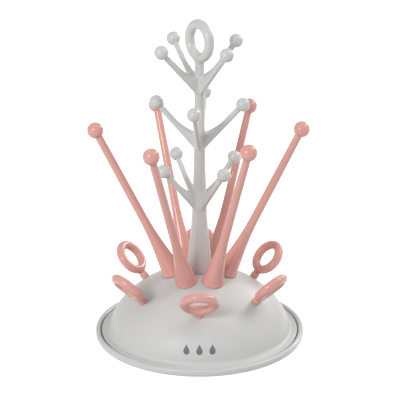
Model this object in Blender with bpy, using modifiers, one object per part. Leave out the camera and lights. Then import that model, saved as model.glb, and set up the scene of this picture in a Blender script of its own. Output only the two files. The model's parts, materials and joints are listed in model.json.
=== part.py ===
"""Bottle drying rack: a domed base in a drip tray, a tree of ball-tipped branches,
six leaning bottle posts and six accessory rings, all of them push-fit pieces.

Units are metres, +Z is up, and the origin is at the middle of the tray's underside.
Heights and radii are measured from that origin unless a comment says otherwise.
"""
import math

import bmesh
import bpy
from mathutils import Matrix, Vector

FIT = 0.0003                    # clearance between pieces that touch or plug together
MERGE = 0.00001                 # merge distance for turned shapes

# Drip tray
TRAY_RADIUS = 0.105
TRAY_FLOOR = 0.002
TRAY_RIM_HEIGHT = 0.0066
TRAY_WELL_RADIUS = 0.0985       # where the floor starts to rise to the rim
TRAY_SPLIT_RADIUS = 0.0885      # the floor's disc inside, the rim's ring with its ribs outside
RIM_INNER_RADIUS = 0.1000
RIM_ROUND = 0.0022
RIB_COUNT = 12                  # low ribs that carry the brim above the tray's floor
RIB_INNER_RADIUS = 0.089
RIB_LENGTH = 0.007
RIB_WIDTH = 0.0024

# Domed base
DOME_HEIGHT = 0.0684
DOME_RADIUS = 0.0916
DOME_POWER = 1.6                # 2 is an ellipse, less is a more pointed crown
DOME_WALL = 0.0024
BOSS_TOP = 0.0012               # depth in the wall where the sockets' bosses begin
DOME_SEAT_RADIUS = 0.0136       # flat seat for the trunk on top of the crown
FLARE_START = 0.0095            # height where the wall turns out into the brim
BRIM_TOP = 0.0055
BRIM_FLAT_RADIUS = 0.0950
BRIM_RADIUS = 0.0988
BRIM_THICKNESS = 0.0021
BRIM_LIP = 0.001                # step from the wall's inside to the brim's underside
DOME_SPLIT = 0.032              # height where the crown ends and the skirt begins

# Trunk: radius against height, from the foot on the crown to the neck of the handle
TRUNK_OUTLINE = (
    (0.0666, 0.0125), (0.0720, 0.0122), (0.0868, 0.0110), (0.1035, 0.0093), (0.1285, 0.0074),
    (0.1600, 0.0063), (0.1920, 0.0054), (0.2460, 0.0048), (0.2900, 0.0045),
)
SEAM_HEIGHTS = (0.1321, 0.1935, 0.2490)     # joints under the low, middle and top tier
SEAM_PEG_RADII = (0.0042, 0.0032, 0.0028)
SEAM_PEG_LENGTH = 0.012
TRUNK_PEG_RADIUS = 0.0070
TRUNK_PEG_LENGTH = 0.014
TRUNK_BOSS_RADIUS = 0.0092
PEG_CHAMFER = 0.0006

# Tiers of four branches, low to high
TIER_NAMES = ("tier_low", "tier_middle", "tier_top")
TIER_TURNS = (34.0, -7.0, 35.5)             # azimuth of each tier's first branch, degrees
TIER_REACH = (0.0413, 0.0418, 0.0435)       # trunk axis to ball centre
BRANCHES = 4
BRANCH_RISE = 0.0459                        # tier's seam to ball centre
BRANCH_TIP_WIDE = 0.0024                    # half width at the ball
BRANCH_TIP_TALL = 0.0029                    # half height at the ball, square to the branch
BRANCH_ROOT_WIDE = 0.0029                   # half width at the trunk
BRANCH_ROOT_LOW = 0.0006                    # lower edge above the seam, at the trunk
BRANCH_ROOT_HIGH = 0.0098                   # upper edge above the seam, before its web
WEB_RISE = 0.0076                           # the web lifts the upper edge at the trunk
WEB_REACH = 0.0175
WEB_CURVE = 1.5
BALL_RADIUS = 0.0067

# Handle ring on top of the tree, in line with two branches of the top tier
HANDLE_HEIGHT = 0.3004
HANDLE_RADIUS = 0.0159
HANDLE_TUBE = 0.00475
NECK_TOP = 0.2835

# Bottle posts, spaced evenly round the trunk
POSTS = 6
POST_CIRCLE = 0.0262
POST_LENGTH = 0.1663                        # dome surface to ball centre
POST_LEANS = (25.9, 26.4, 24.5, 26.6, 25.8, 24.1)       # degrees from vertical
POST_SWAYS = (0.6, -0.9, -3.3, 0.4, 4.9, -2.1)          # degrees off the radial direction
POST_BALL_RADIUS = 0.0079
POST_OUTLINE = (
    (-0.0040, 0.0114), (0.0000, 0.0107), (0.0100, 0.0094), (0.0250, 0.0072), (0.0400, 0.0055),
    (0.0520, 0.0046), (0.0680, 0.0042), (0.1100, 0.0040), (0.1550, 0.0037),
)
POST_PEG_RADIUS = 0.0046
POST_PEG_LENGTH = 0.012
POST_BOSS_RADIUS = 0.0063
POST_BOSS_DEPTH = 0.014

# Accessory rings, spaced evenly lower down on the dome, between the posts
RINGS = 6
RING_CIRCLE = 0.0634
RING_FIRST_AZIMUTH = 30.0
RING_LEAN = 42.3
RING_TURNS = (0.0, 0.0, 5.0, 6.5, 0.0, -5.5)           # degrees about each ring's own peg
RING_REACH = 0.0256                         # dome surface to ring centre
RING_RADIUS = 0.0145
RING_TUBE = 0.0044
RING_COLLAR_RADIUS = 0.0042
RING_COLLAR_LENGTH = 0.0055
RING_NECK_RADIUS = 0.0031
RING_PEG_RADIUS = 0.0028
RING_PEG_LENGTH = 0.008
RING_BOSS_RADIUS = 0.0050
RING_BOSS_DEPTH = 0.010

# Mesh fineness
BASE_SIDES = 48
TRUNK_SIDES = 16
POST_SIDES = 12
BORE_SIDES = 12
RING_SIDES = 20
TUBE_SIDES = 8
BRANCH_SIDES = 10

GREY = (0.60, 0.60, 0.59)
PINK = (0.72, 0.37, 0.33)


def clear_scene():
    for leftover in list(bpy.data.objects):
        bpy.data.objects.remove(leftover, do_unlink=True)


def make_collection(name):
    collection = bpy.data.collections.new(name)
    bpy.context.scene.collection.children.link(collection)
    return collection


def make_plastic(name, colour, roughness):
    material = bpy.data.materials.new(name)
    material.use_nodes = True
    shader = material.node_tree.nodes["Principled BSDF"]
    shader.inputs["Base Color"].default_value = (*colour, 1.0)
    shader.inputs["Roughness"].default_value = roughness
    shader.inputs["Metallic"].default_value = 0.0
    return material


clear_scene()
PARTS = make_collection("bottle_drying_rack")
TOOLS = make_collection("cutters")


# ---------------------------------------------------------------- shape helpers

def smooth_outline(points, steps):
    """Points on a Catmull-Rom curve that passes through the given points."""
    ends = [points[0], *points, points[-1]]
    curve = []
    for before, start, end, after in zip(ends, ends[1:], ends[2:], ends[3:]):
        for step in range(steps):
            t = step / steps
            curve.append(tuple(
                0.5 * (2 * b + (c - a) * t + (2 * a - 5 * b + 4 * c - d) * t * t
                       + (3 * b - a - 3 * c + d) * t ** 3)
                for a, b, c, d in zip(before, start, end, after)))
    curve.append(tuple(points[-1]))
    return curve


def interpolate(points, at):
    """Second value of the (first, second) points at the given first value."""
    for (low, at_low), (high, at_high) in zip(points, points[1:]):
        if at <= high:
            return at_low + (at_high - at_low) * (at - low) / (high - low)
    return points[-1][1]


def add_object(name, mesh, collection, material=None):
    obj = bpy.data.objects.new(name, mesh)
    collection.objects.link(obj)
    if material:
        mesh.materials.append(material)
    if collection is TOOLS:
        obj.hide_render = True
        obj.display_type = 'WIRE'
    return obj


def turned(name, outline, sides, collection, material=None, is_ring=False):
    """Turn a (radius, height) outline, given top to bottom, about the local Z axis.

    A ring's outline is closed; any other one starts and ends on the axis.
    """
    mesh = bpy.data.meshes.new(name)
    vertices = [(radius, 0.0, height) for radius, height in outline]
    edges = [(i, i + 1) for i in range(len(vertices) - 1)]
    if is_ring:
        edges.append((len(vertices) - 1, 0))
    mesh.from_pydata(vertices, edges, [])
    obj = add_object(name, mesh, collection, material)
    screw = obj.modifiers.new("turn", 'SCREW')
    screw.axis = 'Z'
    screw.steps = sides
    screw.render_steps = sides
    screw.use_merge_vertices = True
    screw.merge_threshold = MERGE
    screw.use_smooth_shade = True
    return obj


def cylinder(shape, radius, bottom, top, sides, matrix=Matrix()):
    """Add a closed cylinder on the matrix's Z axis to a bmesh."""
    middle = matrix @ Matrix.Translation((0.0, 0.0, (bottom + top) / 2))
    bmesh.ops.create_cone(shape, cap_ends=True, segments=sides, radius1=radius, radius2=radius,
                          depth=top - bottom, matrix=middle)


def add_tool(name, shape):
    """Turn a bmesh into a hidden tool."""
    mesh = bpy.data.meshes.new(name)
    shape.to_mesh(mesh)
    shape.free()
    return add_object(name, mesh, TOOLS)


def torus(name, radius, tube, sides, centre_height):
    """A hidden tool: a ring standing in the local YZ plane."""
    bpy.ops.mesh.primitive_torus_add(major_radius=radius, minor_radius=tube,
                                     major_segments=sides, minor_segments=TUBE_SIDES)
    obj = bpy.context.object
    obj.name = name
    upright = Matrix.Translation((0.0, 0.0, centre_height)) @ Matrix.Rotation(math.pi / 2, 4, 'Y')
    obj.data.transform(upright)
    for collection in list(obj.users_collection):
        collection.objects.unlink(obj)
    TOOLS.objects.link(obj)
    obj.hide_render = True
    obj.display_type = 'WIRE'
    return obj


def boolean(obj, tool, operation):
    modifier = obj.modifiers.new(f"{operation.lower()} {tool.name}", 'BOOLEAN')
    modifier.operation = operation
    modifier.solver = 'EXACT'
    modifier.object = tool


def stand(obj, location, lean, azimuth):
    """Place an object with its local Z axis leaning outward at an azimuth, in degrees."""
    obj.location = location
    obj.rotation_euler = (0.0, math.radians(lean), math.radians(azimuth))


def leaning(location, lean, azimuth):
    """The matrix of an object placed by stand()."""
    turn = Matrix.Rotation(math.radians(azimuth), 4, 'Z') @ Matrix.Rotation(math.radians(lean), 4, 'Y')
    return Matrix.Translation(location) @ turn


def around(radius, azimuth, height):
    angle = math.radians(azimuth)
    return Vector((radius * math.cos(angle), radius * math.sin(angle), height))


# ---------------------------------------------------------------- drip tray

def rim_section():
    """The rim's rounded section, from its inner side over the top to the underside."""
    inner = RIM_INNER_RADIUS + RIM_ROUND
    outer = TRAY_RADIUS - RIM_ROUND
    crown = TRAY_RIM_HEIGHT - RIM_ROUND
    points = [(inner - RIM_ROUND * math.cos(math.radians(a)),
               crown + RIM_ROUND * math.sin(math.radians(a))) for a in (0, 30, 60, 90)]
    points += [(outer + RIM_ROUND * math.sin(math.radians(a)),
                crown + RIM_ROUND * math.cos(math.radians(a))) for a in (0, 30, 60, 90)]
    points += [(TRAY_RADIUS, 0.0018), (TRAY_RADIUS - 0.0006, 0.0006), (TRAY_RADIUS - 0.0018, 0.0)]
    return points


def make_tray(material):
    """One moulding in two nodes: the floor's disc, and the rim with its ring of floor and ribs."""
    disc = [(0.0, TRAY_FLOOR), (TRAY_SPLIT_RADIUS, TRAY_FLOOR), (TRAY_SPLIT_RADIUS, 0.0), (0.0, 0.0)]
    turned("tray", disc, BASE_SIDES, PARTS, material)
    outline = [(TRAY_SPLIT_RADIUS, TRAY_FLOOR), (TRAY_WELL_RADIUS, TRAY_FLOOR)]
    outline += rim_section()
    outline.append((TRAY_SPLIT_RADIUS, 0.0))
    rim = turned("tray_rim", outline, BASE_SIDES, PARTS, material, is_ring=True)
    ribs = bmesh.new()
    underside = BRIM_TOP - BRIM_THICKNESS
    bottom = TRAY_FLOOR / 2
    height = underside - FIT - bottom
    for k in range(RIB_COUNT):
        size = Matrix.Diagonal((RIB_LENGTH, RIB_WIDTH, height, 1.0))
        middle = Matrix.Translation((RIB_INNER_RADIUS + RIB_LENGTH / 2, 0.0, bottom + height / 2))
        turn = Matrix.Rotation(2 * math.pi * (k + 0.5) / RIB_COUNT, 4, 'Z')
        bmesh.ops.create_cube(ribs, size=1.0, matrix=turn @ middle @ size)
    boolean(rim, add_tool("tray_ribs", ribs), 'UNION')


# ---------------------------------------------------------------- domed base

def crown_height(radius):
    """Height of the dome's outer surface, without its flare."""
    return DOME_HEIGHT * math.sqrt(max(0.0, 1.0 - (radius / DOME_RADIUS) ** DOME_POWER))


def crown_radius(height):
    return DOME_RADIUS * (1.0 - (height / DOME_HEIGHT) ** 2) ** (1.0 / DOME_POWER)


SEAT_HEIGHT = crown_height(DOME_SEAT_RADIUS)


def dome_surface(steps=10):
    """The outer surface from the seat on top, down the crown and out along the flare."""
    points = [(DOME_SEAT_RADIUS, SEAT_HEIGHT)]
    flare_radius = crown_radius(FLARE_START)
    for k in range(1, steps + 1):
        share = math.sin(0.5 * math.pi * k / (steps + 1))
        radius = DOME_SEAT_RADIUS + (flare_radius - DOME_SEAT_RADIUS) * share
        points.append((radius, crown_height(radius)))
    start = Vector((flare_radius, FLARE_START))
    nearby = crown_radius(FLARE_START + 0.001)
    slope = (flare_radius - nearby) / 0.001
    corner = Vector((flare_radius + slope * (FLARE_START - BRIM_TOP), BRIM_TOP))
    end = Vector((BRIM_FLAT_RADIUS, BRIM_TOP))
    for k in range(5):
        t = k / 4
        points.append(tuple((1 - t) ** 2 * start + 2 * t * (1 - t) * corner + t * t * end))
    return points


def offset(points, distance):
    """Move each point of an outline outward, square to the outline."""
    moved = []
    for i, point in enumerate(points):
        before = Vector(points[max(i - 1, 0)])
        after = Vector(points[min(i + 1, len(points) - 1)])
        along = (after - before).normalized()
        moved.append((point[0] - along.y * distance, point[1] + along.x * distance))
    return moved


def brim_edge():
    """The brim's rounded edge and its underside, top to bottom."""
    edge = BRIM_THICKNESS / 2
    middle = BRIM_TOP - edge
    return [(BRIM_RADIUS - edge + edge * math.sin(math.radians(a)),
             middle + edge * math.cos(math.radians(a))) for a in (35, 90, 145, 180)]


def make_seat():
    """A hidden tool: the dome as a solid lump grown by the fit's clearance."""
    surface = offset(dome_surface(), FIT)
    outline = [(0.0, SEAT_HEIGHT + FIT), *surface, (surface[-1][0], 0.0), (0.0, 0.0)]
    return turned("dome_seat", outline, BASE_SIDES, TOOLS)


def socket_axes():
    """Name, base point, lean and azimuth of every push-fit socket on the dome."""
    sockets = []
    for k in range(POSTS):
        spot = 360.0 * k / POSTS
        base = around(POST_CIRCLE, spot, crown_height(POST_CIRCLE))
        sockets.append((f"bottle_post_{k + 1}", base, POST_LEANS[k], spot + POST_SWAYS[k]))
    for k in range(RINGS):
        spot = RING_FIRST_AZIMUTH + 360.0 * k / RINGS
        base = around(RING_CIRCLE, spot, crown_height(RING_CIRCLE))
        sockets.append((f"accessory_ring_{k + 1}", base, RING_LEAN, spot))
    return sockets


def make_dome(material):
    """One thin moulding in two nodes: the crown with its sockets, and the skirt with the brim.

    A tube hangs under each socket and is open at its lower end.
    """
    surface = dome_surface()
    inner = offset([p for p in surface if p[1] >= FLARE_START], -DOME_WALL)[1:]
    inner_by_height = [(height, radius) for radius, height in reversed(inner)]
    split = [(crown_radius(DOME_SPLIT), DOME_SPLIT),
             (interpolate(inner_by_height, DOME_SPLIT), DOME_SPLIT)]
    outline = [(0.0, SEAT_HEIGHT), *(p for p in surface if p[1] > DOME_SPLIT), *split]
    outline += reversed([p for p in inner if p[1] > DOME_SPLIT])
    outline.append((0.0, SEAT_HEIGHT - DOME_WALL))
    dome = turned("dome", outline, BASE_SIDES, PARTS, material)

    lip = (inner[-1][0] + BRIM_LIP, BRIM_TOP - BRIM_THICKNESS)
    outline = [split[0], *(p for p in surface if p[1] < DOME_SPLIT), *brim_edge(), lip]
    outline += [*reversed([p for p in inner if p[1] < DOME_SPLIT]), split[1]]
    turned("dome_skirt", outline, BASE_SIDES, PARTS, material, is_ring=True)

    bosses = bmesh.new()
    bores = bmesh.new()
    above = 0.006
    half_side = Matrix.Rotation(math.pi / BASE_SIDES, 4, 'Z')   # corners clear of the shell's
    upright = Matrix.Translation((0.0, 0.0, SEAT_HEIGHT)) @ half_side
    sizes = {"trunk": (TRUNK_BOSS_RADIUS, TRUNK_PEG_LENGTH + 0.002, TRUNK_PEG_RADIUS),
             "bottle": (POST_BOSS_RADIUS, POST_BOSS_DEPTH, POST_PEG_RADIUS),
             "accessory": (RING_BOSS_RADIUS, RING_BOSS_DEPTH, RING_PEG_RADIUS)}
    places = [("trunk", upright)]
    places += [(name.split("_")[0], leaning(*axis)) for name, *axis in socket_axes()]
    for kind, matrix in places:
        boss_radius, depth, peg_radius = sizes[kind]
        cylinder(bosses, boss_radius, -depth, -BOSS_TOP, BORE_SIDES, matrix)
        cylinder(bores, peg_radius + FIT, -depth - above, above, BORE_SIDES, matrix)
    boolean(dome, add_tool("dome_bosses", bosses), 'UNION')
    boolean(dome, add_tool("dome_bores", bores), 'DIFFERENCE')


# ---------------------------------------------------------------- trunk and tiers

def trunk_radius(height):
    return interpolate(TRUNK_OUTLINE, height)


def trunk_stretch(bottom, top, spacing=0.009):
    """Outline of the trunk between two heights, top to bottom, with square ends."""
    count = max(2, round((top - bottom) / spacing))
    heights = [top + (bottom - top) * k / count for k in range(count + 1)]
    curve = [(h, r) for h, r in smooth_outline(TRUNK_OUTLINE, 4)]
    return [(interpolate(curve, h), h) for h in heights]


def peg(radius, top, length):
    """Outline of a chamfered peg that hangs below a piece, top to bottom."""
    bottom = top - length
    return [(radius, top), (radius, bottom + PEG_CHAMFER), (radius - PEG_CHAMFER, bottom),
            (0.0, bottom)]


def lowered(outline, drop):
    return [(radius, height - drop) for radius, height in outline]


def branch_mesh(name, trunk_at_root, reach, azimuth):
    """A branch and its ball: a loft from a tall web at the trunk to a round tip."""
    ball = Vector((reach, 0.0, BRANCH_RISE))
    root = Vector((trunk_at_root, 0.0, (BRANCH_ROOT_LOW + BRANCH_ROOT_HIGH) / 2))
    along = (ball - root).normalized()
    across = Vector((-along.z, 0.0, along.x))
    into_ball = math.sqrt(BALL_RADIUS ** 2 - BRANCH_TIP_TALL ** 2)
    tip = ball - along * into_ball
    tip_low = tip - across * BRANCH_TIP_TALL
    tip_high = tip + across * BRANCH_TIP_TALL
    inside = 0.001
    slope_low = (tip_low.z - BRANCH_ROOT_LOW) / (tip_low.x - trunk_at_root)
    slope_high = (tip_high.z - BRANCH_ROOT_HIGH) / (tip_high.x - trunk_at_root)
    sections = []
    steps = 7
    for k in range(steps + 1):
        t = (k / steps) ** 1.3
        x_low = inside + (tip_low.x - inside) * t
        x_high = inside + (tip_high.x - inside) * t
        z_low = max(BRANCH_ROOT_LOW, BRANCH_ROOT_LOW + slope_low * (x_low - trunk_at_root))
        web = max(0.0, 1.0 - max(0.0, x_high - trunk_at_root) / WEB_REACH)
        z_high = BRANCH_ROOT_HIGH + slope_high * max(0.0, x_high - trunk_at_root)
        z_high += WEB_RISE * web ** WEB_CURVE
        low = Vector((x_low, 0.0, z_low))
        high = Vector((x_high, 0.0, z_high))
        half_width = BRANCH_ROOT_WIDE + (BRANCH_TIP_WIDE - BRANCH_ROOT_WIDE) * t
        sections.append(((low + high) / 2, (high - low).normalized(), half_width,
                         (high - low).length / 2))
    first = math.asin(BRANCH_TIP_TALL / BALL_RADIUS)
    rings = 6
    for k in range(1, rings):
        angle = first + (math.pi - first) * k / rings
        centre = ball - along * BALL_RADIUS * math.cos(angle)
        radius = BALL_RADIUS * math.sin(angle)
        sections.append((centre, across, radius, radius))
    pole = ball + along * BALL_RADIUS

    shape = bmesh.new()
    loops = []
    for centre, up, half_width, half_height in sections:
        straight = half_height - half_width
        loop = []
        for k in range(BRANCH_SIDES):
            angle = 2 * math.pi * (k + 0.5) / BRANCH_SIDES
            side = half_width * math.cos(angle)
            rise = half_width * math.sin(angle) + math.copysign(straight, math.sin(angle))
            loop.append(shape.verts.new(centre + Vector((0.0, side, 0.0)) + up * rise))
        loops.append(loop)
    for near, far in zip(loops, loops[1:]):
        for k in range(BRANCH_SIDES):
            after = (k + 1) % BRANCH_SIDES
            shape.faces.new((near[k], near[after], far[after], far[k]))
    shape.faces.new(list(reversed(loops[0])))
    top = shape.verts.new(pole)
    for k in range(BRANCH_SIDES):
        shape.faces.new((loops[-1][k], loops[-1][(k + 1) % BRANCH_SIDES], top))
    bmesh.ops.recalc_face_normals(shape, faces=shape.faces)
    bmesh.ops.rotate(shape, verts=shape.verts, matrix=Matrix.Rotation(math.radians(azimuth), 3, 'Z'))
    mesh = bpy.data.meshes.new(name)
    shape.to_mesh(mesh)
    shape.free()
    return mesh


def add_socket(piece, seam, top):
    """Bore a blind socket in a trunk piece's top for the peg of the piece above."""
    hole = bmesh.new()
    depth = SEAM_PEG_LENGTH + 0.001
    cylinder(hole, SEAM_PEG_RADII[seam] + FIT, top - depth, top + 0.002, BORE_SIDES)
    tool = add_tool(f"{piece.name}_socket", hole)
    tool.parent = piece
    boolean(piece, tool, 'DIFFERENCE')


def make_trunk_cone(material):
    top = SEAM_HEIGHTS[0]
    bottom = SEAT_HEIGHT + FIT
    outline = [(0.0, top), *trunk_stretch(bottom, top), *peg(TRUNK_PEG_RADIUS, bottom,
                                                             TRUNK_PEG_LENGTH)]
    cone = turned("trunk_cone", lowered(outline, bottom), TRUNK_SIDES, PARTS, material)
    cone.location = (0.0, 0.0, bottom)
    add_socket(cone, 0, top - bottom)


def make_tier(level, material):
    name = TIER_NAMES[level]
    bottom = SEAM_HEIGHTS[level] + FIT
    is_top = level == len(TIER_NAMES) - 1
    top = NECK_TOP if is_top else SEAM_HEIGHTS[level + 1]
    outline = [(0.0, top), *trunk_stretch(bottom, top)]
    outline += peg(SEAM_PEG_RADII[level], bottom, SEAM_PEG_LENGTH)
    tier = turned(name, lowered(outline, bottom), TRUNK_SIDES, PARTS, material)
    tier.location = (0.0, 0.0, bottom)
    tier.rotation_euler = (0.0, 0.0, math.radians(TIER_TURNS[level]))
    root_radius = trunk_radius(bottom + 0.005)
    for k in range(BRANCHES):
        tool_name = f"{name}_branch_{k + 1}"
        mesh = branch_mesh(tool_name, root_radius, TIER_REACH[level], 90.0 * k)
        branch = add_object(tool_name, mesh, TOOLS)
        branch.parent = tier
        boolean(tier, branch, 'UNION')
    if is_top:
        handle = torus("tier_top_handle", HANDLE_RADIUS, HANDLE_TUBE, RING_SIDES,
                       HANDLE_HEIGHT - bottom)
        handle.parent = tier
        boolean(tier, handle, 'UNION')
    else:
        add_socket(tier, level + 1, top - bottom)


# ---------------------------------------------------------------- posts and rings

def make_post(name, base, lean, azimuth, seat, material):
    """A post is turned about its own axis, and its foot is cut to sit on the dome."""
    ball = []
    first = math.asin(POST_OUTLINE[-1][1] / POST_BALL_RADIUS)
    rings = 7
    for k in range(rings):
        angle = (math.pi - first) * k / (rings - 1)
        ball.append((POST_BALL_RADIUS * math.sin(angle),
                     POST_LENGTH + POST_BALL_RADIUS * math.cos(angle)))
    ball[0] = (0.0, POST_LENGTH + POST_BALL_RADIUS)
    shaft = [(radius, height) for height, radius in reversed(POST_OUTLINE)]
    post = turned(name, [*ball, *shaft[1:], (0.0, shaft[-1][1])], POST_SIDES, PARTS, material)
    stand(post, base, lean, azimuth)
    boolean(post, seat, 'DIFFERENCE')
    inside = 0.006
    outline = [(0.0, inside), *peg(POST_PEG_RADIUS, inside, POST_PEG_LENGTH + inside)]
    plug = turned(f"{name}_peg", outline, POST_SIDES, TOOLS)
    stand(plug, base, lean, azimuth)
    boolean(post, plug, 'UNION')


def make_ring(name, base, lean, azimuth, turn, seat, material):
    """A ring on a short neck and collar, whose foot is cut to sit on the dome."""
    collar_low = -0.003
    blend = 0.0012
    neck_top = RING_REACH - RING_RADIUS
    outline = [(0.0, neck_top), (RING_NECK_RADIUS, neck_top),
               (RING_NECK_RADIUS, RING_COLLAR_LENGTH + blend),
               (RING_COLLAR_RADIUS, RING_COLLAR_LENGTH), (RING_COLLAR_RADIUS, collar_low),
               (0.0, collar_low)]
    ring = turned(name, outline, POST_SIDES, PARTS, material)
    stand(ring, base, lean, azimuth)
    boolean(ring, seat, 'DIFFERENCE')
    inside = 0.004
    outline = [(0.0, inside), *peg(RING_PEG_RADIUS, inside, RING_PEG_LENGTH + inside)]
    plug = turned(f"{name}_peg", outline, POST_SIDES, TOOLS)
    stand(plug, base, lean, azimuth)
    boolean(ring, plug, 'UNION')
    hoop = torus(f"{name}_hoop", RING_RADIUS, RING_TUBE, RING_SIDES, RING_REACH)
    hoop.data.transform(Matrix.Rotation(math.radians(turn), 4, 'Z'))
    stand(hoop, base, lean, azimuth)
    boolean(ring, hoop, 'UNION')


def main():
    grey = make_plastic("grey_plastic", GREY, 0.38)
    pink = make_plastic("pink_plastic", PINK, 0.30)
    make_tray(grey)
    make_dome(grey)
    seat = make_seat()
    make_trunk_cone(grey)
    for level in range(len(TIER_NAMES)):
        make_tier(level, grey)
    sockets = socket_axes()
    for name, base, lean, azimuth in sockets[:POSTS]:
        make_post(name, base, lean, azimuth, seat, pink)
    for (name, base, lean, azimuth), turn in zip(sockets[POSTS:], RING_TURNS):
        make_ring(name, base, lean, azimuth, turn, seat, pink)


main()
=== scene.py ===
"""Bottle drying rack: finished surfaces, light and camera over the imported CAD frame.

Metres, +Z up, origin at the middle of the tray's underside. Every node of the frame is
replaced by a finer mesh of the same size in the same place.
"""
import json
import math

import bmesh
import bpy
import numpy as np
from mathutils import Matrix, Vector


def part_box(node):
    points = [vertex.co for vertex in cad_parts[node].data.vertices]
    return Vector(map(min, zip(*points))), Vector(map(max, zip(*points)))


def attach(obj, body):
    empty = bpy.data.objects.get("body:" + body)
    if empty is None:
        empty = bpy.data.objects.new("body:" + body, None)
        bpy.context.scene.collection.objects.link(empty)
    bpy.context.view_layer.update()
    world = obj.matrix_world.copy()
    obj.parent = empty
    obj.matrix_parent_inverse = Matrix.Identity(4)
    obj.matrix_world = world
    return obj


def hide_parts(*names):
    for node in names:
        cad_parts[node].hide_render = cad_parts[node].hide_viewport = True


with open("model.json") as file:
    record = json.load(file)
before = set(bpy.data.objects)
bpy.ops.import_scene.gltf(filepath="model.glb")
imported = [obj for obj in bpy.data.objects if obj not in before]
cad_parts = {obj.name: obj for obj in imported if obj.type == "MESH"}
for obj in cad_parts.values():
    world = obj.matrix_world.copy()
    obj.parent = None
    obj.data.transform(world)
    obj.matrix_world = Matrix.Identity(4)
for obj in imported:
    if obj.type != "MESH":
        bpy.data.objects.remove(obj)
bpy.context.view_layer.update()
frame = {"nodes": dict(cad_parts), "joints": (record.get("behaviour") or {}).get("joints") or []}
AXES = {joint["child"]: Vector(joint["axis"]) for joint in frame["joints"]}

FIT = 0.0003                    # clearance between pieces that touch or plug together
EDGE = 0.0004                   # rounding of moulded edges
SEAM_GAP = 0.0001               # how far apart the pieces of the trunk stand
SEAM_EDGE = 0.00015             # rounding of their rims
SHARP = math.radians(38.0)      # edges bent by more than this shade sharp
MERGE = 0.000001                # distance at which a CAD node's corners become one

# Drip tray
TRAY_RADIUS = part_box("tray_rim")[1].x
TRAY_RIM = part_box("tray_rim")[1].z
TRAY_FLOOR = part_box("tray")[1].z
TRAY_WELL_RADIUS = 0.0985
RIM_INNER_RADIUS = 0.1000
RIM_ROUND = 0.0022
RIM_DRAFT = 0.0003              # lean of the rim's inner side, and the height it starts from
RIM_INNER_FOOT = 0.0036
FLOOR_RADII = (0.05, 0.085, 0.0955)
WELL_FILLET = ((-0.0008, 0.0001), (0.0002, 0.0005))     # out from the well's edge, up
TRAY_SIDE_FOOT = 0.0030         # height where the outer side ends, above its rounded foot
TRAY_FOOT_ROUND = 0.0018
FOOT_RING_RADIUS = 0.0935       # the underside is a little hollow inside this radius
FOOT_RING_STEP = 0.0004
GATE_RADII = (0.006, 0.0055)    # round moulding mark in the middle of the underside
GATE_LEVEL = 0.4                # its height, as a share of the foot ring's step
RIBS = 12
RIB_START = 0.0894
RIB_END = 0.0960
RIB_HALF_WIDTH = 0.0011

# Domed base
DOME_HEIGHT = 0.0684
DOME_RADIUS = 0.0916
DOME_POWER = 1.6
DOME_WALL = 0.0024
SEAT_RADIUS = 0.0136
SEAT_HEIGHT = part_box("dome")[1].z
SEAT_INNER_SHARE = 0.6          # place of the seat's inner ring of points
FLARE_START = 0.0095
BRIM_TOP = 0.0055
BRIM_FLAT_RADIUS = 0.0950
BRIM_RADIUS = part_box("dome_skirt")[1].x
BRIM_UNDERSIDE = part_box("dome_skirt")[0].z
BRIM_INNER_EDGE = ((0.0012, 0.0), (0.0004, 0.0004))     # out from the wall, up from the underside
AXIS_CLEAR = 0.001              # the dome's slope is not read nearer to its axis than this
SLOPE_STEP = 0.0001
FLARE_RUN = 0.001               # height over which the crown's slope is read for the flare

# Trunk and tiers
TRUNK_OUTLINE = (
    (0.0666, 0.0125), (0.0720, 0.0122), (0.0868, 0.0110), (0.1035, 0.0093), (0.1285, 0.0074),
    (0.1600, 0.0063), (0.1920, 0.0054), (0.2460, 0.0048), (0.2900, 0.0045),
)
SEAMS = tuple(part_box(name)[1].z for name in ("trunk_cone", "tier_low", "tier_middle"))
SEAM_PEG_RADII = (0.0042, 0.0032, 0.0028)
SEAM_PEG_LENGTH = 0.012
TRUNK_PEG_RADIUS = 0.0070
TRUNK_PEG_LENGTH = 0.014
TRUNK_BOSS_RADIUS = 0.0092
TRUNK_BOSS_SPARE = 0.002        # depth of a socket below its peg's end
SEAM_SOCKET_SPARE = 0.001
BORE_CLEAR = 0.006              # how far the cutters reach past both ends of a socket
BORE_TWIST = 0.01               # radians: keeps the middle socket's sides off the shell's edges
PEG_CHAMFER = 0.0006
TIERS = (("tier_low", 34.0, 0.0413), ("tier_middle", -7.0, 0.0418), ("tier_top", 35.5, 0.0435))
BRANCHES = 4
BRANCH_RISE = 0.0459            # tier's seam to ball centre
BRANCH_TIP_WIDE = 0.0024        # half width and half height of a branch's section
BRANCH_TIP_TALL = 0.0029
BRANCH_ROOT_WIDE = 0.0029
BRANCH_ROOT_LOW = 0.0006        # edges of a branch at the trunk, above the seam
BRANCH_ROOT_HIGH = 0.0098
WEB_RISE = 0.0076
WEB_REACH = 0.0175
WEB_CURVE = 1.5
BALL_RADIUS = 0.0067
BRANCH_ROOT_LEVEL = 0.005       # height above the seam where the trunk's radius is a root's
BALL_FILLET = 0.0012            # reaches of the fillets where parts of a tier meet
BRANCH_FILLET = 0.0006
TRUNK_FILLET = 0.0022
HANDLE_FILLET = 0.0030
HANDLE_HEIGHT = 0.3004
HANDLE_RADIUS = 0.0159
HANDLE_TUBE = 0.00475
NECK_TOP = 0.2835

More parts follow.
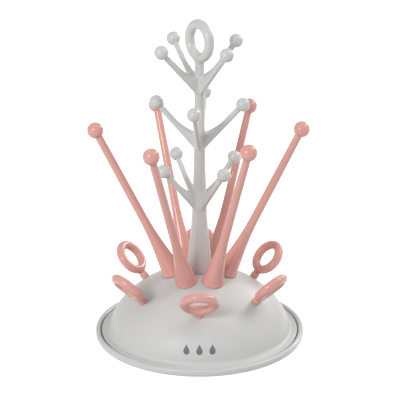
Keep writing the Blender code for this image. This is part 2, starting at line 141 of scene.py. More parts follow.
# Bottle posts
POSTS = 6
POST_CIRCLE = 0.0262
POST_LENGTH = 0.1663
POST_BALL_RADIUS = 0.0079
POST_OUTLINE = (
    (-0.0040, 0.0114), (0.0000, 0.0107), (0.0100, 0.0094), (0.0250, 0.0072), (0.0400, 0.0055),
    (0.0520, 0.0046), (0.0680, 0.0042), (0.1100, 0.0040), (0.1550, 0.0037),
)
POST_FILLET = 0.0012
POST_SHAFT_FOOT = 0.0075        # height where the shaft ends and the lip starts
POST_LIP = (                    # out from the foot's radius, up from the dome
    (-0.0006, 0.0042), (-0.00035, 0.0030), (-0.0002, 0.0023), (0.0001, 0.0019),
    (0.00015, 0.0013), (0.0001, 0.0008), (-0.0002, FIT + 0.0001), (-0.0006, FIT),
)
POST_SOLE_RADIUS = 0.0075       # an inner ring of points under the foot
POST_PEG_RADIUS = 0.0046
POST_PEG_LENGTH = 0.012
POST_BOSS_RADIUS = 0.0063
POST_BOSS_DEPTH = 0.014

# Accessory rings
RINGS = 6
RING_CIRCLE = 0.0634
RING_FIRST_AZIMUTH = 30.0
RING_TURNS = (0.0, 0.0, 5.0, 6.5, 0.0, -5.5)       # degrees about each ring's own peg
RING_REACH = 0.0256
RING_RADIUS = 0.0145
RING_TUBE = 0.0044
RING_COLLAR_RADIUS = 0.0042
RING_COLLAR_LENGTH = 0.0055
RING_COLLAR_FOOT = ((0.0, 0.0012), (0.0, FIT + 0.0003), (-0.0003, FIT))     # out, up from the dome
RING_NECK_RADIUS = 0.0031
RING_NECK_FOOT = ((0.0, 0.0006), (0.0003, 0.0001))      # out from the neck, up from the collar
RING_CUT = 0.0014               # height above the collar where the refined neck is cut
RING_FILLET = 0.0030
RING_PEG_RADIUS = 0.0028
RING_PEG_LENGTH = 0.008
RING_BOSS_RADIUS = 0.0050
RING_BOSS_DEPTH = 0.010

# Printed drops on the front of the dome
DROPS = (-0.0125, 0.0, 0.0125)  # sideways places of the drops
DROP_HEIGHT = 0.0185            # height of the drops' round parts on the dome
DROP_RADIUS = 0.0030
DROP_LENGTH = 0.0088
PRINT_THICKNESS = 0.00005
PRINT_GAP = 0.00005

# Fineness
BASE_SIDES = 192
TURNED_SIDES = 64
BORE_SIDES = 32
VOXEL = 0.00055
STEM_RADIUS = 0.013             # what is nearer to a tier's or a ring's axis is its stem

# Materials
GREY = (0.61, 0.612, 0.60)
PINK = (0.74, 0.375, 0.325)
INK = (0.16, 0.16, 0.17)
NOISE_RANGE = (0.3, 0.7)        # a noise's middle values
TONE_NOISE = (22.0, 4.0)        # scale and detail
SATIN_NOISE = (60.0, 2.0)
GRAIN_NOISE = (2600.0, 2.0)
SATIN_DRIFT = 0.06
GRAIN_STRENGTH = 0.12
PLASTIC_IOR = 1.49
SUBSURFACE_RADIUS = (1.0, 0.6, 0.5)
SUBSURFACE_SCALE = 0.0015

# Stage, light and camera. The strengths were fitted to the photo, then rounded and changed.
WHITE = (1.0, 1.0, 1.0, 1.0)
FLOOR_COLOUR = (0.9, 0.9, 0.9, 1.0)
FLOOR_RADIUS = 6.0
FLOOR_GLOW = 0.55
WORLD_STRENGTH = 0.53
LIGHT_AIM = (0.0, 0.0, 0.15)
SOFTBOXES = (                   # name, place, width and height, watts
    ("key", (-0.72, -1.13, 0.82), (0.42, 0.42), 9.0),
    ("left_strip", (-1.25, -0.75, 0.45), (0.12, 0.9), 1.8),
    ("right_strip", (1.35, 0.0, 0.50), (0.12, 1.1), 1.4),
    ("right_rim", (0.93, 1.03, 0.72), (0.30, 0.50), 5.8),
    ("right_top", (0.9, 0.1, 1.2), (0.6, 0.6), 5.0),
)
CAMERA_ELEVATION = 19.414       # degrees above level
CAMERA_DISTANCE = 1.3945
CAMERA_AIM = (0.0005, 0.0, 0.14098)
CAMERA_SENSOR = 36.0            # millimetres, as the lens
CAMERA_LENS = 127.73


# ---------------------------------------------------------------- mesh helpers

def skin(shape, rings):
    """Cover rings of points, in order, with faces; a ring of one point closes an end."""
    before = None
    for ring in rings:
        now = [shape.verts.new(point) for point in ring]
        if before:
            count = max(len(before), len(now))
            for k in range(count):
                corners = [before[k % len(before)], before[(k + 1) % len(before)],
                           now[(k + 1) % len(now)], now[k % len(now)]]
                shape.faces.new(list(dict.fromkeys(corners)))
        before = now


def turned(outline, sides, matrix=Matrix()):
    """Rings of points for a (radius, height) outline turned about the matrix's Z axis.

    An outline's third value, where it has one, is a height above the dome's surface, and
    the ring then follows that surface.
    """
    rings = []
    for radius, height, *seated in outline:
        if radius == 0.0:
            rings.append([matrix @ Vector((0.0, 0.0, height))])
            continue
        ring = []
        for k in range(sides):
            angle = 2.0 * math.pi * k / sides
            spot = Vector((radius * math.cos(angle), radius * math.sin(angle), height))
            ring.append(on_dome(matrix, spot, seated[0]) if seated else matrix @ spot)
        rings.append(ring)
    return rings


def arc(centre, radius, start, end, steps):
    """Points (radius, height) on an arc, by angles in degrees from the outward direction."""
    points = []
    for k in range(steps + 1):
        angle = math.radians(start + (end - start) * k / steps)
        points.append((centre[0] + radius * math.cos(angle), centre[1] + radius * math.sin(angle)))
    return points


def smooth_outline(points, steps):
    """Points on a Catmull-Rom curve that passes through the given points."""
    ends = [points[0], *points, points[-1]]
    curve = []
    for before, start, end, after in zip(ends, ends[1:], ends[2:], ends[3:]):
        for step in range(steps):
            t = step / steps
            curve.append(tuple(
                0.5 * (2 * b + (c - a) * t + (2 * a - 5 * b + 4 * c - d) * t * t
                       + (3 * b - a - 3 * c + d) * t ** 3)
                for a, b, c, d in zip(before, start, end, after)))
    curve.append(tuple(points[-1]))
    return curve


TRUNK_CURVE = np.array(smooth_outline(TRUNK_OUTLINE, 8))
POST_CURVE = np.array(smooth_outline(POST_OUTLINE, 8))


def trunk_radius(height):
    return np.interp(height, TRUNK_CURVE[:, 0], TRUNK_CURVE[:, 1])


def post_radius(height):
    return np.interp(height, POST_CURVE[:, 0], POST_CURVE[:, 1])


def finish_piece(name, shape, material, body, slot, *nodes):
    """Make an object from a bmesh, shade it, and let it stand for nodes of that body."""
    bmesh.ops.recalc_face_normals(shape, faces=shape.faces)
    mesh = bpy.data.meshes.new(name)
    shape.to_mesh(mesh)
    shape.free()
    mesh.shade_smooth()
    mesh.set_sharp_from_angle(angle=SHARP)
    mesh.materials.append(material)
    piece = bpy.data.objects.new(name, mesh)
    bpy.context.scene.collection.objects.link(piece)
    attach(piece, body)
    if slot:
        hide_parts(*(nodes or (body,)))
    return piece


def evaluated(obj):
    """The mesh of an object with its modifiers applied; the object itself is removed."""
    depsgraph = bpy.context.evaluated_depsgraph_get()
    mesh = bpy.data.meshes.new_from_object(obj.evaluated_get(depsgraph))
    bpy.data.objects.remove(obj, do_unlink=True)
    return mesh


def add_temporary(shape):
    mesh = bpy.data.meshes.new("temporary")
    shape.to_mesh(mesh)
    shape.free()
    obj = bpy.data.objects.new("temporary", mesh)
    bpy.context.scene.collection.objects.link(obj)
    return obj


# ---------------------------------------------------------------- surfaces given by a distance

def blended(first, second, reach):
    """The nearer of two distances, with a fillet where they are within reach of each other."""
    share = np.clip(0.5 + 0.5 * (second - first) / reach, 0.0, 1.0)
    return second + (first - second) * share - reach * share * (1.0 - share)


def settle(points, distance, rounds=5):
    """Move points onto the surface where distance is zero."""
    probe = 0.00002
    flattest = 0.1                  # keeps the moves finite where the slope vanishes
    for _ in range(rounds):
        slope = np.empty_like(points)
        for axis in range(3):
            step = np.zeros(3)
            step[axis] = probe
            slope[:, axis] = (distance(points + step) - distance(points - step)) / (2 * probe)
        steep = np.maximum((slope ** 2).sum(axis=1), flattest)
        move = (distance(points) / steep)[:, None] * slope
        points = points - np.clip(move, -VOXEL, VOXEL)
    return points


def refined(node, matrix, distance):
    """A fine even copy of a CAD node in the matrix's frame, settled on a distance's surface."""
    shape = bmesh.new()
    shape.from_mesh(frame["nodes"][node].data)
    bmesh.ops.remove_doubles(shape, verts=shape.verts, dist=MERGE)
    shape.transform(matrix.inverted())
    coarse = add_temporary(shape)
    remesh = coarse.modifiers.new("even", 'REMESH')
    remesh.mode = 'VOXEL'
    remesh.voxel_size = VOXEL
    mesh = evaluated(coarse)
    places = np.empty(len(mesh.vertices) * 3)
    mesh.vertices.foreach_get("co", places)
    mesh.vertices.foreach_set("co", settle(places.reshape(-1, 3), distance).ravel())
    fine = bmesh.new()
    fine.from_mesh(mesh)
    return fine


def cut_and_turn(shape, height, upward, outline, matrix=None):
    """Cut a shape's stem off square to its local Z axis and go on with a turned outline.

    The last point of the outline is on the axis. Points with a third value follow the dome
    that lies under the matrix, as in turned().
    """
    normal = Vector((0.0, 0.0, 1.0 if upward else -1.0))
    stem = [v for v in shape.verts if math.hypot(v.co.x, v.co.y) < STEM_RADIUS]
    inside = set(stem)              # looked up only: its order differs from run to run
    edges = [edge for edge in shape.edges if inside.issuperset(edge.verts)]
    faces = [face for face in shape.faces if inside.issuperset(face.verts)]
    bmesh.ops.bisect_plane(shape, geom=[*stem, *edges, *faces], plane_co=(0.0, 0.0, height),
                           plane_no=normal, clear_outer=True)
    rim = [edge for edge in shape.edges if edge.is_boundary]
    for radius, level, *seated in outline[:-1]:
        grown = bmesh.ops.extrude_edge_only(shape, edges=rim)["geom"]
        rim = [item for item in grown if isinstance(item, bmesh.types.BMEdge)]
        for vertex in [item for item in grown if isinstance(item, bmesh.types.BMVert)]:
            flat = Vector((vertex.co.x, vertex.co.y)).normalized() * radius
            vertex.co = (flat.x, flat.y, level)
            if seated:
                vertex.co = matrix.inverted() @ on_dome(matrix, vertex.co, seated[0])
    bmesh.ops.holes_fill(shape, edges=rim)
    return shape


# ---------------------------------------------------------------- materials

def link_noise(nodes, links, coordinates, scale_and_detail):
    scale, detail = scale_and_detail
    noise = nodes.new("ShaderNodeTexNoise")
    noise.inputs["Scale"].default_value = scale
    noise.inputs["Detail"].default_value = detail
    links.new(coordinates.outputs["Object"], noise.inputs["Vector"])
    return noise


def link_range(nodes, links, source, low, high):
    """Spread a noise's middle values over the range low to high."""
    spread = nodes.new("ShaderNodeMapRange")
    spread.inputs["From Min"].default_value = NOISE_RANGE[0]
    spread.inputs["From Max"].default_value = NOISE_RANGE[1]
    spread.inputs["To Min"].default_value = low
    spread.inputs["To Max"].default_value = high
    links.new(source.outputs["Fac"], spread.inputs["Value"])
    return spread


def make_plastic(name, colour, roughness, drift, texture_depth, subsurface):
    """Moulded plastic: slow drift of tone, uneven satin and a fine spark-eroded texture."""
    material = bpy.data.materials.new(name)
    material.use_nodes = True
    nodes, links = material.node_tree.nodes, material.node_tree.links
    shader = nodes["Principled BSDF"]
    coordinates = nodes.new("ShaderNodeTexCoord")

    flow = link_noise(nodes, links, coordinates, TONE_NOISE)
    share = link_range(nodes, links, flow, 0.0, 1.0)
    tones = nodes.new("ShaderNodeMix")
    tones.data_type = 'RGBA'
    tones.inputs["A"].default_value = (*(c * (1.0 - drift) for c in colour), 1.0)
    tones.inputs["B"].default_value = (*(min(1.0, c * (1.0 + drift)) for c in colour), 1.0)
    links.new(share.outputs["Result"], tones.inputs["Factor"])
    links.new(tones.outputs["Result"], shader.inputs["Base Color"])

    satin = link_noise(nodes, links, coordinates, SATIN_NOISE)
    uneven = link_range(nodes, links, satin, roughness * (1.0 - SATIN_DRIFT),
                        roughness * (1.0 + SATIN_DRIFT))
    links.new(uneven.outputs["Result"], shader.inputs["Roughness"])

    grain = link_noise(nodes, links, coordinates, GRAIN_NOISE)
    bump = nodes.new("ShaderNodeBump")
    bump.inputs["Strength"].default_value = GRAIN_STRENGTH
    bump.inputs["Distance"].default_value = texture_depth
    links.new(grain.outputs["Fac"], bump.inputs["Height"])
    links.new(bump.outputs["Normal"], shader.inputs["Normal"])

    shader.inputs["IOR"].default_value = PLASTIC_IOR
    shader.inputs["Subsurface Weight"].default_value = subsurface
    shader.inputs["Subsurface Radius"].default_value = SUBSURFACE_RADIUS
    shader.inputs["Subsurface Scale"].default_value = SUBSURFACE_SCALE
    return material


# ---------------------------------------------------------------- drip tray

def make_tray(material):
    crown = TRAY_RIM - RIM_ROUND
    foot = TRAY_FOOT_ROUND
    gate = FOOT_RING_STEP * GATE_LEVEL
    outline = [(radius, TRAY_FLOOR) for radius in (0.0, *FLOOR_RADII)]
    outline += [(TRAY_WELL_RADIUS + out, TRAY_FLOOR + up) for out, up in WELL_FILLET]
    outline += [(RIM_INNER_RADIUS - RIM_DRAFT, RIM_INNER_FOOT)]
    outline += arc((RIM_INNER_RADIUS + RIM_ROUND, crown), RIM_ROUND, 180.0, 90.0, 7)
    outline += arc((TRAY_RADIUS - RIM_ROUND, crown), RIM_ROUND, 90.0, 0.0, 7)
    outline += [(TRAY_RADIUS, TRAY_SIDE_FOOT)]
    outline += arc((TRAY_RADIUS - foot, foot), foot, 0.0, -90.0, 5)
    outline += [(FOOT_RING_RADIUS, 0.0), (FOOT_RING_RADIUS - FOOT_RING_STEP, FOOT_RING_STEP)]
    outline += [(GATE_RADII[0], FOOT_RING_STEP), (GATE_RADII[1], gate), (0.0, gate)]
    shape = bmesh.new()
    skin(shape, turned(outline, BASE_SIDES))
    top = BRIM_UNDERSIDE - FIT
    height = top - TRAY_FLOOR / 2
    for k in range(RIBS):
        rib = bmesh.ops.create_cube(shape, size=1.0)["verts"]
        size = Matrix.Diagonal((RIB_END - RIB_START, 2 * RIB_HALF_WIDTH, height, 1.0))
        middle = Vector(((RIB_START + RIB_END) / 2, 0.0, (top + TRAY_FLOOR / 2) / 2))
        turn = Matrix.Rotation(2.0 * math.pi * (k + 0.5) / RIBS, 4, 'Z')
        bmesh.ops.transform(shape, matrix=turn @ Matrix.Translation(middle) @ size, verts=rib)
        edges = list({edge for vertex in rib for edge in vertex.link_edges})
        bmesh.ops.bevel(shape, geom=edges, offset=EDGE, segments=2, affect='EDGES')
    return finish_piece("drip_tray", shape, material, "tray", "grey_plastic", "tray", "tray_rim")


# ---------------------------------------------------------------- domed base

def crown_height(radius):
    return DOME_HEIGHT * math.sqrt(max(0.0, 1.0 - (radius / DOME_RADIUS) ** DOME_POWER))


def crown_radius(height):
    return DOME_RADIUS * (1.0 - (height / DOME_HEIGHT) ** 2) ** (1.0 / DOME_POWER)


def crown_normal(spot):
    """The direction square to the dome's surface above or below a spot."""
    radius = max(math.hypot(spot.x, spot.y), AXIS_CLEAR)
    step = SLOPE_STEP
    fall = (crown_height(radius + step) - crown_height(radius - step)) / (2 * step)
    return Vector((-fall * spot.x / radius, -fall * spot.y / radius, 1.0)).normalized()


def on_dome(matrix, spot, gap):
    """Slide a local spot along the matrix's Z axis until it is a gap above the dome."""
    axis = matrix.col[2].to_3d()
    place = matrix @ spot
    for _ in range(6):
        normal = crown_normal(place)
        above = (place.z - crown_height(math.hypot(place.x, place.y))) * normal.z
        place = place + axis * ((gap - above) / axis.dot(normal))
    return place


def dome_surface():
    """The outer surface from the seat on top, down the crown and out along the flare."""
    points = arc((SEAT_RADIUS - EDGE, SEAT_HEIGHT - EDGE), EDGE, 90.0, 60.0, 2)
    flare_radius = crown_radius(FLARE_START)
    steps = 40
    for k in range(1, steps + 1):
        share = math.sin(0.5 * math.pi * k / (steps + 1))
        radius = SEAT_RADIUS + (flare_radius - SEAT_RADIUS) * share
        points.append((radius, crown_height(radius)))
    start = Vector((flare_radius, FLARE_START))
    above = crown_radius(FLARE_START + FLARE_RUN)
    slope = (flare_radius - above) / FLARE_RUN
    corner = Vector((flare_radius + slope * (FLARE_START - BRIM_TOP), BRIM_TOP))
    end = Vector((BRIM_FLAT_RADIUS, BRIM_TOP))
    steps = 14
    for k in range(steps + 1):
        t = k / steps
        points.append(tuple((1 - t) ** 2 * start + 2 * t * (1 - t) * corner + t * t * end))
    return points


def inward(points, distance):
    """Move each point of an outline square to the outline, towards the inside."""
    moved = []
    for i, point in enumerate(points):
        before = Vector(points[max(i - 1, 0)])
        after = Vector(points[min(i + 1, len(points) - 1)])
        along = (after - before).normalized()
        moved.append((point[0] + along.y * distance, point[1] - along.x * distance))
    return moved


def socket(name, circle, azimuth, twist=0.0):
    """The matrix of a push-fit piece: on the dome's surface, its Z axis along its joint."""
    angle = math.radians(azimuth)
    base = Vector((circle * math.cos(angle), circle * math.sin(angle), crown_height(circle)))
    axis = AXES[name]
    turn = math.atan2(axis.y, axis.x)
    lean = math.acos(axis.z)
    return (Matrix.Translation(base) @ Matrix.Rotation(turn, 4, 'Z')
            @ Matrix.Rotation(lean, 4, 'Y') @ Matrix.Rotation(math.radians(twist), 4, 'Z'))


POST_SOCKETS = [socket(f"bottle_post_{k + 1}", POST_CIRCLE, 360.0 * k / POSTS)
                for k in range(POSTS)]
RING_SOCKETS = [socket(f"accessory_ring_{k + 1}", RING_CIRCLE,
                       RING_FIRST_AZIMUTH + 360.0 * k / RINGS, RING_TURNS[k])
                for k in range(RINGS)]


def make_dome(material):
    edge = (BRIM_TOP - BRIM_UNDERSIDE) / 2
    surface = dome_surface()
    crown = [point for point in surface if point[1] >= FLARE_START and point[0] > SEAT_RADIUS]
    inner = inward(crown, DOME_WALL)
    outline = [(0.0, SEAT_HEIGHT), (SEAT_RADIUS * SEAT_INNER_SHARE, SEAT_HEIGHT), *surface]
    outline += arc((BRIM_RADIUS - edge, BRIM_TOP - edge), edge, 80.0, -90.0, 9)
    outline += [(inner[-1][0] + out, BRIM_UNDERSIDE + up) for out, up in BRIM_INNER_EDGE]
    outline += [*reversed(inner), (0.0, SEAT_HEIGHT - DOME_WALL)]
    shell = bmesh.new()
    skin(shell, turned(outline, BASE_SIDES))
    bmesh.ops.recalc_face_normals(shell, faces=shell.faces)
    obj = add_temporary(shell)

    middle = Matrix.Translation((0.0, 0.0, SEAT_HEIGHT)) @ Matrix.Rotation(BORE_TWIST, 4, 'Z')
    depth = TRUNK_PEG_LENGTH + TRUNK_BOSS_SPARE
    sockets = [(middle, TRUNK_BOSS_RADIUS, depth, TRUNK_PEG_RADIUS)]
    sockets += [(m, POST_BOSS_RADIUS, POST_BOSS_DEPTH, POST_PEG_RADIUS) for m in POST_SOCKETS]
    sockets += [(m, RING_BOSS_RADIUS, RING_BOSS_DEPTH, RING_PEG_RADIUS) for m in RING_SOCKETS]
    bosses = bmesh.new()
    bores = bmesh.new()
    boss_top = -DOME_WALL / 2
    clear = BORE_CLEAR
    for matrix, boss_radius, depth, peg_radius in sockets:
        boss = [(0.0, boss_top), (boss_radius, boss_top), (boss_radius, EDGE - depth)]
        boss += [(boss_radius - EDGE, -depth), (0.0, -depth)]
        skin(bosses, turned(boss, BORE_SIDES, matrix))
        bore = [(0.0, clear), (peg_radius + FIT, clear), (peg_radius + FIT, -depth - clear)]
        skin(bores, turned([*bore, (0.0, -depth - clear)], BORE_SIDES, matrix))
    for tools, operation in ((bosses, 'UNION'), (bores, 'DIFFERENCE')):
        bmesh.ops.recalc_face_normals(tools, faces=tools.faces)
        tool = add_temporary(tools)
        modifier = obj.modifiers.new(operation.lower(), 'BOOLEAN')
        modifier.operation = operation
        modifier.solver = 'EXACT'
        modifier.object = tool
    tools = [modifier.object for modifier in obj.modifiers]
    shape = bmesh.new()
    shape.from_mesh(evaluated(obj))
    for tool in tools:
        bpy.data.objects.remove(tool, do_unlink=True)
    return finish_piece("domed_base", shape, material, "dome", "grey_plastic",
                        "dome", "dome_skirt")


def on_front(across, up, lift):
    """A spot on the front of the dome's skirt, lifted off it by a print's thickness."""
    height = DROP_HEIGHT + up
    radius = crown_radius(height)
    angle = across / radius - 0.5 * math.pi
    spot = Vector((radius * math.cos(angle), radius * math.sin(angle), height))
    return spot + crown_normal(spot) * (lift + PRINT_GAP)


def make_print(material):
    """Three plain drops printed on the front of the dome."""
    shape = bmesh.new()
    tip = DROP_LENGTH - DROP_RADIUS
    touch = math.degrees(math.asin(DROP_RADIUS / tip))
    for middle in DROPS:
        flat = [(0.0, tip), *arc((0.0, 0.0), DROP_RADIUS, 180.0 - touch, 360.0 + touch, 26)]
        rings = []
        sizes = (0.0, 0.4, 0.75, 1.0)
        for lift, sizes in ((0.0, sizes), (PRINT_THICKNESS, sizes[::-1])):
            for size in sizes:
                ring = [on_front(middle + across * size, up * size, lift) for across, up in flat]
                rings.append(ring if size else ring[:1])
        skin(shape, rings)
    return finish_piece("printed_drops", shape, material, "dome", None)


# ---------------------------------------------------------------- trunk and tiers

def peg(radius, top, length):
    """A chamfered peg below a shoulder at the top height, down to the axis."""
    bottom = top - length
    return [(radius + EDGE, top), (radius, top - EDGE), (radius, bottom + PEG_CHAMFER),
            (radius - PEG_CHAMFER, bottom), (0.0, bottom)]


def socket_top(seam):
    """Outline of a trunk piece's top: its edge, its flat and the socket for the next peg."""
    top = SEAMS[seam]
    radius = float(trunk_radius(top))
    bore = SEAM_PEG_RADII[seam] + FIT
    floor = top - SEAM_PEG_LENGTH - SEAM_SOCKET_SPARE
    outline = arc((radius - SEAM_EDGE, top - SEAM_EDGE), SEAM_EDGE, 0.0, 90.0, 2)
    outline += [(bore + EDGE, top), (bore, top - EDGE), (bore, floor), (0.0, floor)]
    return outline


def make_trunk_cone(material):
    top, bottom = SEAMS[0], SEAT_HEIGHT + FIT
    heights = np.linspace(top - 3 * EDGE, bottom + 3 * EDGE, 24)
    foot = float(trunk_radius(bottom))
    outline = list(reversed(socket_top(0)))
    outline += [(float(trunk_radius(h)), float(h)) for h in heights]
    outline += arc((foot - EDGE, bottom + EDGE), EDGE, 0.0, -90.0, 3)
    outline += peg(TRUNK_PEG_RADIUS, bottom, TRUNK_PEG_LENGTH)
    shape = bmesh.new()
    skin(shape, turned(outline, TURNED_SIDES))
    return finish_piece("trunk_base", shape, material, "trunk_cone", "grey_plastic")


def torus_distance(points, radius, tube, centre_height):
    """Distance from a ring that stands in the YZ plane."""
    out = np.hypot(points[:, 1], points[:, 2] - centre_height) - radius
    return np.hypot(out, points[:, 0]) - tube


def branch_distance(points, root, reach):
    """Distance from a branch along +X and its ball, in a tier's frame with its seam at 0."""
    along, across, height = points.T
    middle = (BRANCH_ROOT_LOW + BRANCH_ROOT_HIGH) / 2
    level = 1.0 / math.hypot(1.0, (BRANCH_RISE - middle) / (reach - root))
    tip = BRANCH_TIP_TALL / level
    share = np.clip((along - root) / (reach - root), 0.0, 1.0)
    half = BRANCH_ROOT_WIDE + (BRANCH_TIP_WIDE - BRANCH_ROOT_WIDE) * share
    low = BRANCH_ROOT_LOW + (BRANCH_RISE - tip - BRANCH_ROOT_LOW) * share
    web = np.clip(1.0 - np.maximum(along - root, 0.0) / WEB_REACH, 0.0, 1.0)
    high = BRANCH_ROOT_HIGH + (BRANCH_RISE + tip - BRANCH_ROOT_HIGH) * share
    high = high + WEB_RISE * web ** WEB_CURVE
    beside = np.maximum(np.maximum(low - height, height - high) * level + half, 0.0)
    beyond = np.maximum(np.maximum(along - reach, -along), 0.0)
    blade = np.sqrt(across ** 2 + beside ** 2 + beyond ** 2) - half
    ball = np.linalg.norm(points - (reach, 0.0, BRANCH_RISE), axis=1) - BALL_RADIUS
    return blended(blade, ball, BALL_FILLET)


def tier_distance(points, level, reach):
    """Distance from a tier's surface, without its lower end and its socket."""
    seam = SEAMS[level]
    root = float(trunk_radius(seam + BRANCH_ROOT_LEVEL))
    x, y, z = points.T
    branches = None
    for k in range(BRANCHES):
        c, s = math.cos(math.pi * k / 2), math.sin(math.pi * k / 2)
        turned_points = np.stack((c * x + s * y, c * y - s * x, z - seam), axis=1)
        branch = branch_distance(turned_points, root, reach)
        branches = branch if branches is None else blended(branches, branch, BRANCH_FILLET)
    trunk = np.hypot(x, y) - trunk_radius(z)
    if level == len(TIERS) - 1:
        trunk = np.maximum(trunk, z - NECK_TOP)
        handle = torus_distance(points, HANDLE_RADIUS, HANDLE_TUBE, HANDLE_HEIGHT)
        trunk = blended(trunk, handle, HANDLE_FILLET)
    return blended(trunk, branches, TRUNK_FILLET)


def make_tier(level, material):
    name, turn, reach = TIERS[level]
    matrix = Matrix.Rotation(math.radians(turn), 4, 'Z')
    shape = refined(name, matrix, lambda points: tier_distance(points, level, reach))
    bottom = SEAMS[level] + SEAM_GAP
    foot = float(trunk_radius(bottom))
    lower_end = arc((foot - SEAM_EDGE, bottom + SEAM_EDGE), SEAM_EDGE, 0.0, -90.0, 2)
    lower_end += peg(SEAM_PEG_RADII[level], bottom, SEAM_PEG_LENGTH)
    cut_and_turn(shape, bottom + 2 * EDGE, False, lower_end)
    if level < len(SEAMS) - 1:
        cut_and_turn(shape, SEAMS[level + 1] - 2 * EDGE, True, socket_top(level + 1))
    shape.transform(matrix)
    return finish_piece(f"{name}_branches", shape, material, name, "grey_plastic")


# ---------------------------------------------------------------- posts and rings

def make_post(k, material):
    """A turned post; its foot follows the dome and has a small rounded lip."""
    matrix = POST_SOCKETS[k]
    fillet = POST_FILLET
    outline = [(0.0, POST_LENGTH + POST_BALL_RADIUS)]
    for angle in np.radians(np.linspace(86.0, 0.0, 15)):
        outline.append((POST_BALL_RADIUS * math.cos(angle),
                        POST_LENGTH + POST_BALL_RADIUS * math.sin(angle)))
    for angle in np.radians(np.linspace(-5.0, -88.0, 22)):
        height = POST_LENGTH + POST_BALL_RADIUS * math.sin(angle)
        ball, shaft = POST_BALL_RADIUS * math.cos(angle), float(post_radius(height))
        share = min(1.0, max(0.0, 0.5 + 0.5 * (ball - shaft) / fillet))
        outline.append((shaft + (ball - shaft) * share + fillet * share * (1.0 - share), height))
    for height in np.linspace(POST_LENGTH - POST_BALL_RADIUS - fillet, POST_SHAFT_FOOT, 44):
        outline.append((float(post_radius(height)), float(height)))
    lip = float(post_radius(0.0))
    outline += [(lip + out, 0.0, gap) for out, gap in POST_LIP]
    outline += [(POST_SOLE_RADIUS, 0.0, FIT)]
    outline += [(POST_PEG_RADIUS, 0.0, FIT), (POST_PEG_RADIUS, PEG_CHAMFER - POST_PEG_LENGTH)]
    outline += [(POST_PEG_RADIUS - PEG_CHAMFER, -POST_PEG_LENGTH), (0.0, -POST_PEG_LENGTH)]
    shape = bmesh.new()
    skin(shape, turned(outline, TURNED_SIDES, matrix))
    return finish_piece(f"post_{k + 1}", shape, material, f"bottle_post_{k + 1}", "pink_plastic")


def ring_distance(points):
    """Distance from a hoop and its neck in a ring's own frame."""
    hoop = torus_distance(points, RING_RADIUS, RING_TUBE, RING_REACH)
    neck = np.hypot(points[:, 0], points[:, 1]) - RING_NECK_RADIUS
    neck = np.maximum(neck, points[:, 2] - (RING_REACH - RING_RADIUS))
    return blended(hoop, neck, RING_FILLET)


def make_rings(material):
    """One ring is refined, and every ring is a copy of it with a foot of its own."""
    shape = refined("accessory_ring_1", RING_SOCKETS[0], ring_distance)
    collar, length = RING_COLLAR_RADIUS, RING_COLLAR_LENGTH
    outline = [(RING_NECK_RADIUS + out, length + up) for out, up in RING_NECK_FOOT]
    outline += arc((collar - EDGE, length - EDGE), EDGE, 90.0, 0.0, 3)
    outline += [(collar + out, 0.0, gap) for out, gap in RING_COLLAR_FOOT]
    outline += [(RING_PEG_RADIUS, 0.0, FIT), (RING_PEG_RADIUS, PEG_CHAMFER - RING_PEG_LENGTH)]
    outline += [(RING_PEG_RADIUS - PEG_CHAMFER, -RING_PEG_LENGTH), (0.0, -RING_PEG_LENGTH)]
    for k, matrix in enumerate(RING_SOCKETS):
        ring = shape.copy()
        cut_and_turn(ring, length + RING_CUT, False, outline, matrix)
        ring.transform(matrix)
        finish_piece(f"ring_{k + 1}", ring, material, f"accessory_ring_{k + 1}", "pink_plastic")
    shape.free()


# ---------------------------------------------------------------- stage, light and camera

def make_floor():
    bpy.ops.mesh.primitive_circle_add(vertices=64, radius=FLOOR_RADIUS, fill_type='NGON')
    floor = bpy.context.object
    floor.name = "floor"
    material = bpy.data.materials.new("floor")
    material.use_nodes = True
    shader = material.node_tree.nodes["Principled BSDF"]
    shader.inputs["Base Color"].default_value = FLOOR_COLOUR
    shader.inputs["Roughness"].default_value = 1.0
    shader.inputs["Specular IOR Level"].default_value = 0.0
    shader.inputs["Emission Color"].default_value = WHITE
    shader.inputs["Emission Strength"].default_value = FLOOR_GLOW
    floor.data.materials.append(material)
    floor.visible_diffuse = False


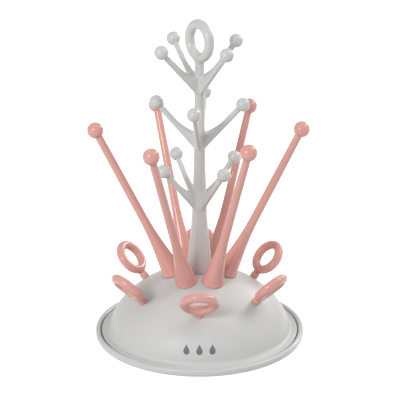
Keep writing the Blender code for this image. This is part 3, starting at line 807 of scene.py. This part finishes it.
def add_softbox(name, place, size, watts):
    light = bpy.data.lights.new(name, 'AREA')
    light.shape = 'RECTANGLE'
    light.size, light.size_y = size
    light.energy = watts
    obj = bpy.data.objects.new(name, light)
    obj.location = place
    obj.rotation_euler = (Vector(LIGHT_AIM) - Vector(place)).to_track_quat('-Z', 'Y').to_euler()
    bpy.context.scene.collection.objects.link(obj)


def make_lights():
    world = bpy.data.worlds.new("studio")
    world.use_nodes = True
    backdrop = world.node_tree.nodes["Background"]
    backdrop.inputs["Color"].default_value = WHITE
    backdrop.inputs["Strength"].default_value = WORLD_STRENGTH
    bpy.context.scene.world = world
    for softbox in SOFTBOXES:
        add_softbox(*softbox)


def make_camera():
    """A long lens from a little above, level with the front of the dome."""
    elevation = math.radians(CAMERA_ELEVATION)
    camera = bpy.data.cameras.new("camera")
    camera.sensor_width = CAMERA_SENSOR
    camera.lens = CAMERA_LENS
    obj = bpy.data.objects.new("camera", camera)
    back = Vector((0.0, -math.cos(elevation), math.sin(elevation)))
    obj.location = Vector(CAMERA_AIM) + back * CAMERA_DISTANCE
    obj.rotation_euler = (0.5 * math.pi - elevation, 0.0, 0.0)
    bpy.context.scene.collection.objects.link(obj)
    bpy.context.scene.camera = obj
    bpy.context.scene.view_settings.view_transform = 'Standard'


def main():
    satin = make_plastic("satin_grey_plastic", GREY, roughness=0.44, drift=0.008,
                         texture_depth=0.00002, subsurface=0.10)
    grey = make_plastic("polished_grey_plastic", GREY, roughness=0.22, drift=0.008,
                        texture_depth=0.00001, subsurface=0.10)
    pink = make_plastic("glossy_pink_plastic", PINK, roughness=0.14, drift=0.012,
                        texture_depth=0.00001, subsurface=0.12)
    ink = make_plastic("printed_ink", INK, roughness=0.55, drift=0.05,
                       texture_depth=0.00003, subsurface=0.0)
    make_tray(grey)
    make_dome(satin)
    make_print(ink)
    make_trunk_cone(grey)
    for level in range(len(TIERS)):
        make_tier(level, grey)
    for k in range(POSTS):
        make_post(k, pink)
    make_rings(pink)
    make_floor()
    make_lights()
    make_camera()


main()
